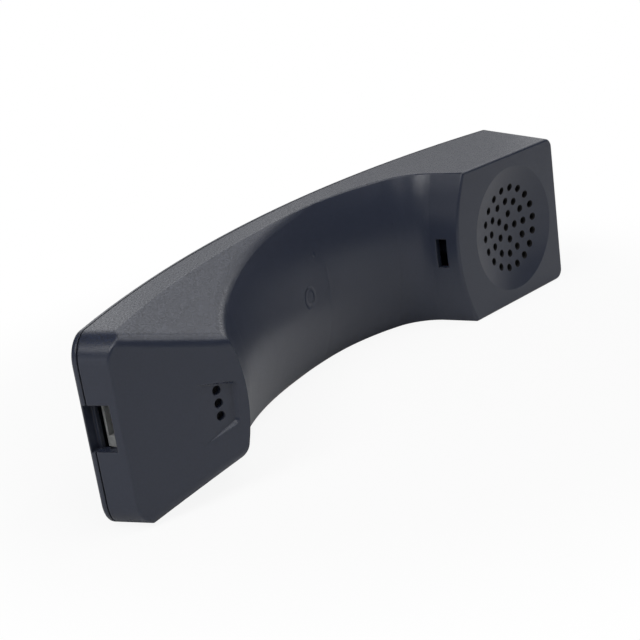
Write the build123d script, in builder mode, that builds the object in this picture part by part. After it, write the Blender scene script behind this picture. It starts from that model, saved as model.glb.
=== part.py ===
from build123d import *
from math import cos, radians, sin, sqrt, tan
import os

os.makedirs("parts", exist_ok=True)

# Telephone handset lying on its long side wall.
# The profile is drawn in X and Y: the mouthpiece is at the low X end, the earpiece at the high X end,
# the side held to the face looks along -Y and the back of the handset looks along +Y.
# Z is the width. At the end every piece moves together so that the box's base is centred on the origin.

# Shell, seen from the side
length = 208.6
width = 47.0
wall = 2.2
mouth_depth = 7.5
mouth_lean = 13.8
mouth_face_length = 31.1
mouth_face_tilt = 24.0
ear_depth = 32.8
ear_lean = 28.2
ear_face_length = 48.7
ear_face_tilt = 10.15
ear_block = 68.0
grip_side = 7.7

# Front of the handle: a chain of arcs from the neck to the wall beside the ear, crowned across the width
neck_x = 31.1
neck_y = -20.5
neck_heading = 42.3
neck_radius = 68.0
neck_turn = 15.0
brow_radius = 65.0
brow_turn = 26.5
ear_hollow_radius = 9.7
ear_wall_heading = 86.0
crown = 5.8

# Sloping shoulders beside the mouthpiece: a cone about an upright axis on each side
shoulder_radius = 262.0
shoulder_end_radius = 45.0
shoulder_slope = 24.2
shoulder_reach = 34.0
shoulder_back_off = 9.2
shoulder_dip = 0.3

# Rounded edges
mouth_corner = 6.5
ear_corner = 3.0
fold_edge = 5.0
mouth_edge = 3.0
ear_edge = 0.8
crease_edge = 0.6

# Seam and rear cover
cover_thickness = 2.0
cover_edge = 1.6
reveal_height = 0.35
reveal_depth = 0.8
lip_depth = 2.2
lip_thickness = 1.2
fit = 0.2
hook_length = 7.0
hook_height = 1.0
hook_reach = 0.7
hook_drop = 1.4
hook_shares = (0.19, 0.5, 0.825)

# Receiver and its grille
dish_radius = 19.6
dish_depth = 3.2
dish_from_end = 24.0
grille_hole = 1.0
ring_hole_count = (5, 12, 18)
ring_radius = (4.3, 8.45, 12.7)
ring_first_angle = (71.0, 90.0, 81.0)
seat_depth = 5.9
seat_wall = 1.4
seat_height = 5.0
receiver_radius = 16.2
cloth_radius = 14.6
cloth_thickness = 0.3
gasket_thickness = 1.2
frame_height = 4.5
frame_back = 1.2
diaphragm_radius = 14.4
diaphragm_thickness = 0.3
diaphragm_rim = 1.0
dome_radius = 8.5
dome_height = 0.7
coil_radius = 8.2
coil_wall = 0.5
coil_height = 2.6
coil_room = 1.1
plate_radius = 7.7
plate_thickness = 1.2
magnet_radius = 7.4
magnet_thickness = 2.4
yoke_radius = 10.3
yoke_wall = 1.1
gap = 0.15
clamp_length = 50.0
clamp_width = 8.0
clamp_thickness = 1.8
clamp_pitch = 42.0
clamp_boss = 3.0
board_thickness = 0.8
terminal_length = 8.0
terminal_width = 4.0

# Microphone
mic_from_end = 24.7
mic_hole = 1.15
mic_hole_pitch = 3.2
mic_can_radius = 3.0
mic_can_height = 4.6
mic_boot_radius = 4.9
mic_boot_front = 0.7
mic_boot_back = 0.3
mic_boot_opening = 2.2
mic_cloth_thickness = 0.4
mic_holder_wall = 1.2
mic_holder_height = 5.0
scoop_depth = 1.2
scoop_ahead = 5.4
scoop_behind = 5.3
scoop_top = 6.2
scoop_bottom = 8.6
scoop_corner = 1.9
scoop_wall_angle = 42.0

# Cord inlet: the opening in the shells, and the four-way socket behind it
socket_lift = 2.2
inlet_width = 11.4
inlet_front = 5.3
inlet_back = 1.3
jack_face = 4.4
jack_length = 12.5
jack_back = 0.2
jack_height = 6.1
jack_width = 11.8
jack_guide = 1.5
plug_width = 7.8
plug_height = 4.8
plug_back_wall = 0.6
plug_top_wall = 1.4
plug_depth = 10.5
contact_count = 4
contact_pitch = 1.2
contact_size = 0.45

# Slot beside the earpiece, where the cradle's tab catches
slot_length = 9.0
slot_width = 3.4
slot_drop = 7.7

# Ballast bar on a boss and two ribs behind the handle's front
boss_back_off = 7.7
boss_radius = 3.5
boss_height = 3.1
rib_span = 22.0
rib_thickness = 1.6
bar_length = 56.0
bar_margin = 11.5
bar_thickness = 5.0
bar_corner = 2.0
pad_thickness = 1.6
pad_length = 14.0
pad_inset = 8.0
screw_radius = 1.25
screw_head = 2.6
screw_head_height = 1.6
screw_length = 8.0
pilot_radius = 1.35
pilot_end = 0.4

# Wires
wire_radius = 0.5
wire_pitch = 1.5
wire_margin = 6.6
wire_drop = 3.2
mic_wire_pitch = 2.6
bend_share = 0.45

# Working shapes reach this far past the shell
overrun = 16.0
clear = 60.0
middle = width / 2


def heading(angle):
    return Vector(cos(radians(angle)), sin(radians(angle)), 0)


# Corner points of the side profile
mouth_back = Vector(0, 0, 0)
mouth_wall = heading(mouth_lean - 90)
mouth_front = mouth_back + mouth_wall * mouth_depth
mouth_face = heading(-mouth_face_tilt)
ear_back = Vector(length, 0, 0)
ear_wall = heading(-90 - ear_lean)
ear_tip = ear_back + ear_wall * ear_depth
ear_face = heading(-ear_face_tilt)
ear_near = ear_tip - ear_face * ear_face_length
neck = Vector(neck_x, neck_y, 0)

# The grip's arc is as large as the chain needs to reach the wall beside the ear
headings = (neck_heading, neck_heading - neck_turn, 0.0, -brow_turn, -ear_wall_heading)
forward = [sin(radians(start)) - sin(radians(end)) for start, end in zip(headings, headings[1:])]
upward = [cos(radians(end)) - cos(radians(start)) for start, end in zip(headings, headings[1:])]
span = length - ear_block - neck_x
other_arcs = neck_radius * forward[0] + brow_radius * forward[2] + ear_hollow_radius * forward[3]
grip_radius = (span - other_arcs) / forward[1]
chain_radii = (neck_radius, grip_radius, brow_radius, ear_hollow_radius)

# Highest point of the handle's front at mid width. The back keeps the handle's thickness behind it.
apex_x = neck_x + neck_radius * forward[0] + grip_radius * forward[1]
apex_y = neck_y + neck_radius * upward[0] + grip_radius * upward[1]
back_rise = apex_y + crown + grip_side
back_radius = (length**2 / 4 + back_rise**2) / (2 * back_rise)
back_centre = Vector(length / 2, back_rise - back_radius, 0)


def back_height(x):
    return back_centre.Y + sqrt(back_radius**2 - (x - back_centre.X) ** 2)


def profile(inset, raised=0.0):
    """Side profile of the shell. Raised moves the back arc outward along the end walls."""
    start = mouth_back - mouth_wall * raised
    end = ear_back - ear_wall * raised
    top = Vector(length / 2, back_rise + raised, 0)
    over_neck = mouth_front + mouth_face * (mouth_face_length + 2)
    over_hollow = ear_near - ear_face * ear_hollow_radius
    with BuildSketch() as side:
        with BuildLine():
            Polyline(start, mouth_front, over_neck, over_hollow, ear_tip, end)
            ThreePointArc(end, top, start)
        make_face()
        if inset > 0:
            offset(amount=-inset, kind=Kind.INTERSECTION, mode=Mode.REPLACE)
    return side.sketch


def front_region(shift):
    """Everything in front of the handle, moved into the shell by shift."""
    lead_turn = 8.0
    first_heading = neck_heading + lead_turn
    neck_centre = neck + heading(neck_heading - 90) * neck_radius
    start = neck_centre - heading(first_heading - 90) * (neck_radius + shift)
    with BuildSketch() as region:
        with BuildLine():
            line = JernArc(start, heading(first_heading), neck_radius + shift, -neck_turn - lead_turn)
            for radius, begin, end in list(zip(chain_radii, headings, headings[1:]))[1:]:
                line = JernArc(line @ 1, line % 1, radius + shift, end - begin)
            tail = line @ 1 + (line % 1) * overrun
            Line(line @ 1, tail)
            Polyline(tail, (tail.X, -clear), (start.X - 1, -clear), (start.X - 1, start.Y), start)
        make_face()
    return region.sketch


def front_tool(inset):
    """Solid in front of the handle. Its face bulges by the crown, most at mid width."""
    edge = crown * ((middle + overrun) / middle) ** 2
    with BuildPart() as tool:
        for z, sag in ((-overrun, edge), (middle, 0.0), (width + overrun, edge)):
            with BuildSketch(Plane.XY.offset(z)):
                add(front_region(inset + sag))
        loft()
    return tool.part


def shoulder_tool(inset):
    """Ring with a sloping underside. Past its top it turns down tightly, clear of the ear block."""
    slope = tan(radians(shoulder_slope))
    rise = overrun - 2
    drop = inset / cos(radians(shoulder_slope))
    top_x = apex_x - shoulder_back_off
    top_y = apex_y + crown - shoulder_dip
    crest = Plane(origin=(top_x, top_y, width - drop), x_dir=(0, 1, 0), z_dir=(1, 0, 0))
    far_centre = Vector(top_x, top_y - shoulder_radius, 0)
    near_centre = Vector(top_x, top_y - shoulder_end_radius, 0)
    inner = -shoulder_reach
    with BuildPart() as ring:
        with BuildSketch(crest) as section:
            Polygon((rise / slope, rise), (inner, inner * slope), (inner, rise), align=None)
        revolve(axis=Axis(far_centre, (0, 0, 1)), revolution_arc=26)
        revolve(section.sketch, axis=Axis(near_centre, (0, 0, -1)), revolution_arc=35)
    return ring.part


def shoulder_tools(inset):
    upper = shoulder_tool(inset)
    return (upper, upper.mirror(Plane.XY.offset(middle)))


def nearest_edge(shape, point):
    return shape.edges().sort_by(lambda edge: edge.distance_to(point))[0]


def handle_form(inset):
    """Thick slab with the handle's front and both shoulders cut in, and a soft fold between them."""
    low = neck_y - 5
    step_x = neck_x + 20
    outline = [(-overrun, low), (step_x, low), (step_x, -clear), (length + overrun, -clear)]
    outline += [(length + overrun, clear), (-overrun, clear)]
    with BuildPart() as form:
        with BuildSketch(Plane.XY.offset(2 - overrun)):
            Polygon(*outline, align=None)
        extrude(amount=width + 2 * overrun - 4)
        add(front_tool(inset), mode=Mode.SUBTRACT)
        for tool in shoulder_tools(inset):
            add(tool, mode=Mode.SUBTRACT)
        for side in (-1, 1):
            beside_neck = neck + Vector(4, 4, middle + side * middle * 0.7)
            fillet(nearest_edge(form, beside_neck), fold_edge - inset)
    return form.part


def mouth_form(inset):
    """Thick slab with the mouth face and both shoulders cut in, and rounded edges between them."""
    over_end = mouth_front - mouth_face * overrun
    past_neck = mouth_front + mouth_face * clear
    far_x = length + overrun
    with BuildPart() as form:
        with BuildSketch(Plane.XY.offset(2 - overrun)):
            Polygon(over_end, past_neck, (far_x, past_neck.Y), (far_x, clear), (over_end.X, clear), align=None)
            if inset > 0:
                offset(amount=-inset, kind=Kind.INTERSECTION, mode=Mode.REPLACE)
        extrude(amount=width + 2 * overrun - 4)
        for tool in shoulder_tools(inset):
            add(tool, mode=Mode.SUBTRACT)
        halfway = mouth_front + mouth_face * mouth_face_length / 2
        for side in (-1, 1):
            beside_face = halfway + Vector(0, 0, middle + side * middle * 0.8)
            fillet(nearest_edge(form, beside_face), mouth_edge - inset)
    return form.part


def block(inset, raised=0.0):
    """The whole shell as a solid, smaller by inset on every side but the back."""
    with BuildPart() as body:
        with BuildSketch(Plane.XY.offset(inset)):
            add(profile(inset, raised))
        extrude(amount=width - 2 * inset)
        fillet(body.edges().filter_by(Axis((0, 0, 0), tuple(mouth_wall))), mouth_corner - inset)
        fillet(body.edges().filter_by(Axis((0, 0, 0), tuple(ear_wall))), ear_corner - inset)
        add(handle_form(inset), mode=Mode.INTERSECT)
        add(mouth_form(inset), mode=Mode.INTERSECT)
    return body.part


def outer_block():
    """The whole shell as a solid with its small edges rounded too."""
    with BuildPart() as body:
        add(block(0.0))
        ear_centre = (ear_near + ear_tip) / 2 + Vector(0, 0, middle)
        face = body.faces().sort_by(lambda face: face.distance_to(ear_centre))[0]
        fillet(face.edges(), ear_edge)
        half_turn = radians(brow_turn / 2)
        brow_x = apex_x + brow_radius * sin(half_turn)
        brow_y = apex_y + crown - brow_radius * (1 - cos(half_turn))
        creases = [nearest_edge(body, Vector(brow_x, brow_y, z)) for z in (0, width)]
        fillet(creases, crease_edge)
    return body.part


def rim(inset, low, high, back_edge=0.0):
    """Strip along the back arc, from low to high, smaller by inset around its outline."""
    with BuildPart() as strip:
        with BuildSketch(Plane.XY.offset(inset)):
            add(profile(inset, inset + high + 3))
        extrude(amount=width - 2 * inset)
        fillet(strip.edges().filter_by(Axis((0, 0, 0), tuple(mouth_wall))), mouth_corner - inset)
        fillet(strip.edges().filter_by(Axis((0, 0, 0), tuple(ear_wall))), max(ear_corner - inset, 0.3))
        with BuildSketch():
            add(profile(0, high) - profile(0, low))
        extrude(amount=width, mode=Mode.INTERSECT)
        if back_edge > 0:
            fillet(strip.faces().sort_by(Axis.Y)[-1].edges(), back_edge)
    return strip.part


# Working planes: local X runs along the face, local Y along the width, local Z out of the shell
dish_centre = ear_tip - ear_face * dish_from_end + Vector(0, 0, middle)
ear_out = heading(-ear_face_tilt - 90)
ear_plane = Plane(origin=dish_centre, x_dir=ear_face, z_dir=ear_out)
mic_centre = mouth_front + mouth_face * mic_from_end + Vector(0, 0, middle)
mouth_out = heading(-mouth_face_tilt - 90)
mouth_plane = Plane(origin=mic_centre, x_dir=mouth_face, z_dir=mouth_out)

# Depths below the two faces, front to back
cloth_front = seat_depth
gasket_front = cloth_front + cloth_thickness
frame_front = gasket_front + gasket_thickness
ledge = frame_front + diaphragm_rim
dome_front = ledge - diaphragm_thickness
plate_front = ledge + coil_room
magnet_front = plate_front + plate_thickness
yoke_inside = magnet_front + magnet_thickness
yoke_back = yoke_inside + yoke_wall
frame_back_face = frame_front + frame_height
clamp_back = yoke_back + clamp_thickness
boot_front = wall + mic_cloth_thickness
can_front = boot_front + mic_boot_front
can_back = can_front + mic_can_height

# Cord inlet, from the width's middle upward and from the end wall inward
inlet_top = middle + socket_lift + inlet_width / 2
inlet_bottom = inlet_top - inlet_width
jack_top = inlet_top
jack_bottom = jack_top - jack_width
jack_front = jack_back - jack_height
jack_end = jack_face + jack_length
socket_middle = jack_top - plug_top_wall - plug_width / 2
plug_back = jack_back - plug_back_wall
board_x = jack_end + fit
contact_z = [socket_middle + contact_pitch * (step - (contact_count - 1) / 2) for step in range(contact_count)]

# Ballast, behind the highest part of the handle's front
boss_x = apex_x - boss_back_off
bar_seat = apex_y + wall + boss_height
bar_width = width - 2 * bar_margin


def cylinder(plane, radius, front, back, place=(0, 0)):
    """Cylinder between two depths below a face."""
    spot = plane * Pos(place[0], place[1], -back)
    size = (radius, back - front)
    return spot * Cylinder(*size, align=(Align.CENTER, Align.CENTER, Align.MIN), mode=Mode.PRIVATE)


def brick(x0, x1, y0, y1, z0, z1):
    corner = (Align.MIN, Align.MIN, Align.MIN)
    return Pos(x0, y0, z0) * Box(x1 - x0, y1 - y0, z1 - z0, align=corner, mode=Mode.PRIVATE)


def upright(radius, y, height):
    """Cylinder on the ballast boss's axis, from y toward the handle's front."""
    spot = Pos(boss_x, y, middle) * Rot(90, 0, 0)
    return spot * Cylinder(radius, height, align=(Align.CENTER, Align.CENTER, Align.MIN), mode=Mode.PRIVATE)


def grille_places():
    places = [(0, 0)]
    for count, radius, first in zip(ring_hole_count, ring_radius, ring_first_angle):
        for step in range(count):
            turn = radians(first + 360 / count * step)
            places.append((radius * cos(turn), radius * sin(turn)))
    return places


def scoop():
    """Shallow recess round the microphone holes, flush at the end wall's side and deepest at the neck."""
    ahead = scoop_ahead
    behind = -scoop_behind
    with BuildPart() as recess:
        with BuildSketch(mouth_plane) as outline:
            Polygon((behind, scoop_top), (ahead, scoop_top - 2), (ahead - 1, -scoop_bottom + 2.4), (behind, -scoop_bottom), align=None)
            fillet(outline.vertices().sort_by(Axis.X)[2:], scoop_corner)
        extrude(amount=-scoop_depth, taper=scoop_wall_angle)
        side = Plane(origin=mic_centre, x_dir=mouth_face, z_dir=(0, 0, 1))
        with BuildSketch(side):
            Polygon((behind, 0), (ahead, scoop_depth), (ahead, -1), (behind, -1), align=None)
        extrude(amount=middle, both=True, mode=Mode.INTERSECT)
    return recess.part


def hooks(extra):
    """Snap hooks on both long sides of the cover's lip. Extra enlarges them for their recesses."""
    size = (hook_length + 2 * extra, hook_height + 2 * extra, hook_reach + extra)
    shapes = []
    for share in hook_shares:
        x = length * share
        slope = Vector(x, back_height(x), 0) - back_centre
        lean = slope.get_signed_angle(Vector(0, 1, 0), Vector(0, 0, -1))
        for side in (-1, 1):
            z = middle + side * (middle - wall - fit + hook_reach / 2 + extra / 2)
            spot = Pos(x, back_height(x), z) * Rot(0, 0, lean) * Pos(0, -hook_drop, 0)
            shapes.append(spot * Box(*size, mode=Mode.PRIVATE))
    return shapes


# Walls, seats and bosses inside the front shell, trimmed to halfway through its wall
seat_back = seat_depth + seat_height
holder_back = wall + mic_holder_height
with BuildPart() as fixtures:
    add(cylinder(ear_plane, receiver_radius + gap + seat_wall, wall / 2, seat_back))
    add(cylinder(ear_plane, receiver_radius + gap, seat_depth, seat_back), mode=Mode.SUBTRACT)
    for side in (-1, 1):
        add(cylinder(ear_plane, clamp_boss, wall / 2, yoke_back, (side * clamp_pitch / 2, 0)))
    add(cylinder(mouth_plane, mic_boot_radius + gap + mic_holder_wall, wall / 2, holder_back))
    add(cylinder(mouth_plane, mic_boot_radius + gap, wall, holder_back), mode=Mode.SUBTRACT)
    add(upright(boss_radius, bar_seat, overrun))
    for side in (-1, 1):
        x = boss_x + side * rib_span - rib_thickness / 2
        half = bar_width / 2 - bar_corner
        add(brick(x, x + rib_thickness, bar_seat - overrun, bar_seat, middle - half, middle + half))
    for z in (jack_bottom - fit - jack_guide, jack_top + fit):
        add(brick(jack_face, jack_end, -clear, jack_back - 1, z, z + jack_guide))
    stop_x = board_x + board_thickness + fit
    add(brick(stop_x, stop_x + jack_guide, -clear, jack_front / 2, jack_bottom + 1, jack_top - 1))
    add(block(wall / 2), mode=Mode.INTERSECT)

# Front shell
with BuildPart() as front_shell:
    add(outer_block())
    add(block(wall, wall + 5), mode=Mode.SUBTRACT)
    add(fixtures.part)
    sphere_radius = (dish_radius**2 + dish_depth**2) / (2 * dish_depth)
    with Locations(ear_plane.offset(sphere_radius - dish_depth)):
        Sphere(sphere_radius, mode=Mode.SUBTRACT)
    for place in grille_places():
        add(cylinder(ear_plane, grille_hole, -1, seat_depth, place), mode=Mode.SUBTRACT)
    add(scoop(), mode=Mode.SUBTRACT)
    for step in (-1, 0, 1):
        add(cylinder(mouth_plane, mic_hole, -1, wall, (0, step * mic_hole_pitch)), mode=Mode.SUBTRACT)
    for side in (-1, 1):
        depth = yoke_back - (screw_length - clamp_thickness) - pilot_end
        hole = cylinder(ear_plane, pilot_radius, depth, yoke_back, (side * clamp_pitch / 2, 0))
        add(hole, mode=Mode.SUBTRACT)
    add(upright(pilot_radius, bar_seat, screw_length - bar_thickness + pilot_end), mode=Mode.SUBTRACT)
    slot_y = ear_near.Y + slot_drop
    half = slot_length / 2
    slot = brick(ear_near.X - 10, ear_near.X + 2, slot_y - slot_width, slot_y, middle - half, middle + half)
    add(slot, mode=Mode.SUBTRACT)
    add(brick(-clear, jack_face, -inlet_front, clear, inlet_bottom, inlet_top), mode=Mode.SUBTRACT)
    for hook in hooks(fit):
        add(hook, mode=Mode.SUBTRACT)

# Rear cover
with BuildPart() as rear_cover:
    add(rim(0.0, reveal_height, cover_thickness, cover_edge - reveal_height))
    add(rim(reveal_depth, 0.0, reveal_height + 0.1))
    add(rim(wall + fit, -lip_depth, 0.1) - rim(wall + fit + lip_thickness, -lip_depth - 1, 0.0))
    for hook in hooks(0.0):
        add(hook)
    add(brick(-clear, wall + fit, -clear, inlet_back, inlet_bottom, inlet_top), mode=Mode.SUBTRACT)
    gate = brick(-clear, jack_face + 1, -clear, jack_back + fit, inlet_bottom - fit, inlet_top + fit)
    add(gate, mode=Mode.SUBTRACT)

# Receiver
with BuildPart() as receiver_cloth:
    add(cylinder(ear_plane, cloth_radius, cloth_front, gasket_front))

with BuildPart() as receiver_gasket:
    add(cylinder(ear_plane, receiver_radius, gasket_front, frame_front))
    add(cylinder(ear_plane, diaphragm_radius - diaphragm_rim, gasket_front, frame_front), mode=Mode.SUBTRACT)

with BuildPart() as receiver_frame:
    add(cylinder(ear_plane, receiver_radius, frame_front, frame_back_face))
    add(cylinder(ear_plane, diaphragm_radius + gap, frame_front, ledge), mode=Mode.SUBTRACT)
    inner = diaphragm_radius - diaphragm_rim
    add(cylinder(ear_plane, inner, ledge, frame_back_face - frame_back), mode=Mode.SUBTRACT)
    add(cylinder(ear_plane, yoke_radius + gap, ledge, frame_back_face), mode=Mode.SUBTRACT)

dome_sphere = (dome_radius**2 + dome_height**2) / (2 * dome_height)
with BuildPart() as receiver_diaphragm:
    with Locations(ear_plane.offset(dome_height - dome_front - dome_sphere)):
        Sphere(dome_sphere)
        Sphere(dome_sphere - diaphragm_thickness, mode=Mode.SUBTRACT)
    add(cylinder(ear_plane, dome_radius, dome_front - 2 * dome_height, ledge), mode=Mode.INTERSECT)
    flat = cylinder(ear_plane, diaphragm_radius, dome_front, ledge)
    add(flat - cylinder(ear_plane, dome_radius, dome_front, ledge))

with BuildPart() as receiver_coil:
    add(cylinder(ear_plane, coil_radius + coil_wall, ledge, ledge + coil_height))
    add(cylinder(ear_plane, coil_radius, ledge, ledge + coil_height), mode=Mode.SUBTRACT)

with BuildPart() as receiver_top_plate:
    add(cylinder(ear_plane, plate_radius, plate_front, magnet_front))

with BuildPart() as receiver_magnet:
    add(cylinder(ear_plane, magnet_radius, magnet_front, yoke_inside))

with BuildPart() as receiver_yoke:
    add(cylinder(ear_plane, yoke_radius, plate_front, yoke_back))
    add(cylinder(ear_plane, yoke_radius - yoke_wall, plate_front, yoke_inside), mode=Mode.SUBTRACT)

to_edge = (Align.CENTER, Align.CENTER, Align.MAX)
terminal = -(receiver_radius + yoke_radius) / 2
with BuildPart() as receiver_board:
    with Locations(ear_plane * Pos(0, terminal, -frame_back_face)):
        Box(terminal_length, terminal_width, board_thickness, align=to_edge)

with BuildPart() as receiver_clamp:
    with Locations(ear_plane * Pos(0, 0, -yoke_back)):
        Box(clamp_length, clamp_width, clamp_thickness, align=to_edge)
    fillet(receiver_clamp.edges().filter_by(Axis((0, 0, 0), tuple(ear_out))), clamp_width * 0.44)
    for side in (-1, 1):
        hole = cylinder(ear_plane, screw_radius + fit, yoke_back, clamp_back, (side * clamp_pitch / 2, 0))
        add(hole, mode=Mode.SUBTRACT)

with BuildPart() as clamp_screws:
    for side in (-1, 1):
        place = (side * clamp_pitch / 2, 0)
        add(cylinder(ear_plane, screw_head, clamp_back, clamp_back + screw_head_height, place))
        add(cylinder(ear_plane, screw_radius, clamp_back - screw_length, clamp_back, place))

# Microphone
boot_back = can_back + mic_boot_back
with BuildPart() as mic_cloth:
    add(cylinder(mouth_plane, mic_boot_radius, wall, boot_front))

with BuildPart() as mic_boot:
    add(cylinder(mouth_plane, mic_boot_radius, boot_front, boot_back))
    add(cylinder(mouth_plane, mic_boot_opening, boot_front, can_front), mode=Mode.SUBTRACT)
    add(cylinder(mouth_plane, mic_can_radius + gap / 3, can_front, boot_back), mode=Mode.SUBTRACT)

with BuildPart() as mic_can:
    add(cylinder(mouth_plane, mic_can_radius, can_front, can_back))

with BuildPart() as mic_board:
    add(cylinder(mouth_plane, mic_can_radius - gap, can_back, can_back + board_thickness))

# Cord inlet
with BuildPart() as jack_housing:
    add(brick(jack_face, jack_end, jack_front, jack_back, jack_bottom, jack_top))
    plug_z = (socket_middle - plug_width / 2, socket_middle + plug_width / 2)
    plug = brick(jack_face, jack_face + plug_depth, plug_back - plug_height, plug_back, *plug_z)
    add(plug, mode=Mode.SUBTRACT)
    for z in contact_z:
        half = contact_size / 2 + gap / 3
        groove = brick(jack_face + 1.6, jack_end, plug_back - 1, plug_back + 0.4, z - half, z + half)
        add(groove, mode=Mode.SUBTRACT)

contact_back = plug_back + 0.35
with BuildPart() as jack_contacts:
    for z in contact_z:
        half = contact_size / 2
        end_x = board_x + board_thickness + 0.1
        add(brick(jack_face + 1.7, end_x, contact_back - contact_size, contact_back, z - half, z + half))

with BuildPart() as jack_board:
    x1 = board_x + board_thickness
    add(brick(board_x, x1, jack_front, jack_back + 2, jack_bottom + 0.6, jack_top - 0.4))
    for z in contact_z:
        half = contact_size / 2 + gap / 2
        hole = brick(board_x, x1, contact_back - contact_size - gap, contact_back + gap, z - half, z + half)
        add(hole, mode=Mode.SUBTRACT)

# Ballast
with BuildPart() as ballast_weight:
    x0 = boss_x - bar_length / 2
    z0 = middle - bar_width / 2
    add(brick(x0, x0 + bar_length, bar_seat, bar_seat + bar_thickness, z0, z0 + bar_width))
    chamfer(ballast_weight.edges().filter_by(Axis.Y), bar_corner)
    add(upright(screw_radius + fit, bar_seat + bar_thickness, bar_thickness), mode=Mode.SUBTRACT)

with BuildPart() as ballast_pad:
    pad_x = boss_x - bar_length / 2 + pad_inset
    pad_y = bar_seat + bar_thickness
    half = bar_width / 3
    add(brick(pad_x, pad_x + pad_length, pad_y, pad_y + pad_thickness, middle - half, middle + half))

with BuildPart() as ballast_screw:
    seat = bar_seat + bar_thickness
    add(upright(screw_radius, seat, screw_length))
    add(upright(screw_head, seat + screw_head_height, screw_head_height))


def wire(points):
    """Round wire: straight runs joined by arcs that are as large as the runs allow."""
    corners = [Vector(point) for point in points]
    radii = []
    for before, corner, after in zip(corners, corners[1:], corners[2:]):
        run_in = corner - before
        run_out = after - corner
        turn = radians(run_in.get_angle(run_out))
        radii.append(bend_share * min(run_in.length, run_out.length) / tan(turn / 2))
    with BuildPart() as lead:
        with BuildLine() as path:
            FilletPolyline(*corners, radius=radii)
        with BuildSketch(Plane(origin=path.wire() @ 0, z_dir=path.wire() % 0)):
            Circle(wire_radius)
        sweep()
    return lead.part


def along_back(share, z):
    """Point on the wires' way beside one side wall, a little under the cover."""
    x = length * share
    return (x, back_height(x) - wire_drop, z)


wire_start = board_x + board_thickness
with BuildPart() as receiver_leads:
    for step in (0, 1):
        z = wire_margin + wire_pitch * step
        socket_z = middle + wire_pitch * step
        across = terminal + (step - 0.5) * terminal_width * 0.6
        end_depth = frame_back_face + board_thickness
        points = (
            (wire_start, jack_back + 0.6, socket_z),
            (wire_start + 6, jack_back + 0.6, socket_z),
            (wire_start + 18, back_height(wire_start + 18) - wire_drop, z + 4),
            along_back(0.27, z),
            along_back(0.42, z - 0.3),
            along_back(0.6, z),
            ear_plane.from_local_coords((-18, across - 1, -(end_depth + 13))),
            ear_plane.from_local_coords((-1, across, -(end_depth + 9))),
            ear_plane.from_local_coords((0, across, -(end_depth + 5))),
            ear_plane.from_local_coords((0, across, -end_depth)),
        )
        add(wire(points))

with BuildPart() as mic_leads:
    for step in (-0.5, 0.5):
        across = step * mic_wire_pitch
        end_depth = can_back + board_thickness
        points = (
            (wire_start, jack_back - 1.8, middle + across),
            (wire_start + 7, jack_back - 1.8, middle + across),
            mouth_plane.from_local_coords((0, across, -(end_depth + 5))),
            mouth_plane.from_local_coords((0, across, -end_depth)),
        )
        add(wire(points))

pieces = {
    "front_shell": front_shell,
    "rear_cover": rear_cover,
    "receiver_cloth": receiver_cloth,
    "receiver_gasket": receiver_gasket,
    "receiver_frame": receiver_frame,
    "receiver_diaphragm": receiver_diaphragm,
    "receiver_coil": receiver_coil,
    "receiver_top_plate": receiver_top_plate,
    "receiver_magnet": receiver_magnet,
    "receiver_yoke": receiver_yoke,
    "receiver_board": receiver_board,
    "receiver_clamp": receiver_clamp,
    "clamp_screws": clamp_screws,
    "mic_cloth": mic_cloth,
    "mic_boot": mic_boot,
    "mic_can": mic_can,
    "mic_board": mic_board,
    "jack_housing": jack_housing,
    "jack_contacts": jack_contacts,
    "jack_board": jack_board,
    "ballast_weight": ballast_weight,
    "ballast_pad": ballast_pad,
    "ballast_screw": ballast_screw,
    "receiver_leads": receiver_leads,
    "mic_leads": mic_leads,
}

# The base of the whole box is centred on the origin
shells = front_shell.part.bounding_box().add(rear_cover.part.bounding_box())
home = Location((-shells.center().X, -shells.center().Y, 0))
for name, piece in pieces.items():
    solid = piece.part.moved(home)
    solid.label = name
    export_step(solid, f"parts/{name}.step")
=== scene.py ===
# %% [markdown]
# # A telephone handset on a white table
# The handset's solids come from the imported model, in metres, and they stay where they are.
# This lesson dresses each solid in the finish of the real piece, then sets the camera and light.
# The shapes are all in the model, so the work is in the materials and in how light meets them.

# %% Load the model and note its size
import bpy
from math import cos, pi, radians, sin
from mathutils import Matrix, Vector


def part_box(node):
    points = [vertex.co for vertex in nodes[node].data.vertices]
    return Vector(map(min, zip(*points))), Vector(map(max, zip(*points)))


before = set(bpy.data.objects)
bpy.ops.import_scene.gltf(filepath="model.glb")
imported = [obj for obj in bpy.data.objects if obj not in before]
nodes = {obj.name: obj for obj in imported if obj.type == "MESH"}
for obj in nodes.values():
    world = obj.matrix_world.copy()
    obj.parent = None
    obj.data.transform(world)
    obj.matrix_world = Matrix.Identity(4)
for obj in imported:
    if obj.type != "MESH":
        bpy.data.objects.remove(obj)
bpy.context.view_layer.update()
scene = bpy.context.scene
mm = 0.001
print("pieces:", len(nodes))

# %% [markdown]
# ## Camera
# The handset lies on its long side wall and is seen from its mouthpiece end, a little from above.
# A long lens from about 0.4 m away keeps the ear block and the mouthpiece in true proportion.
# The camera could be aimed at a target, but its right and up directions are written out instead,
# because they also hold the slight tilt of the view.


# %% Camera
def place_camera():
    data = bpy.data.cameras.new("camera")
    data.sensor_width = 36.0
    data.lens = 72.902
    data.clip_start = 10 * mm
    made = bpy.data.objects.new("camera", data)
    scene.collection.objects.link(made)
    right = Vector((0.53718688, -0.83207213, -0.1381529))
    up = Vector((0.33517712, 0.06028081, 0.94022472))
    place = Vector((-0.29238, -0.19557, 0.13146))
    turn = Matrix((right, up, right.cross(up))).transposed().to_4x4()
    made.matrix_world = Matrix.Translation(place) @ turn
    scene.camera = made
    return made


camera = place_camera()
print("camera to part, in mm:", round(camera.matrix_world.translation.length / mm))

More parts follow.
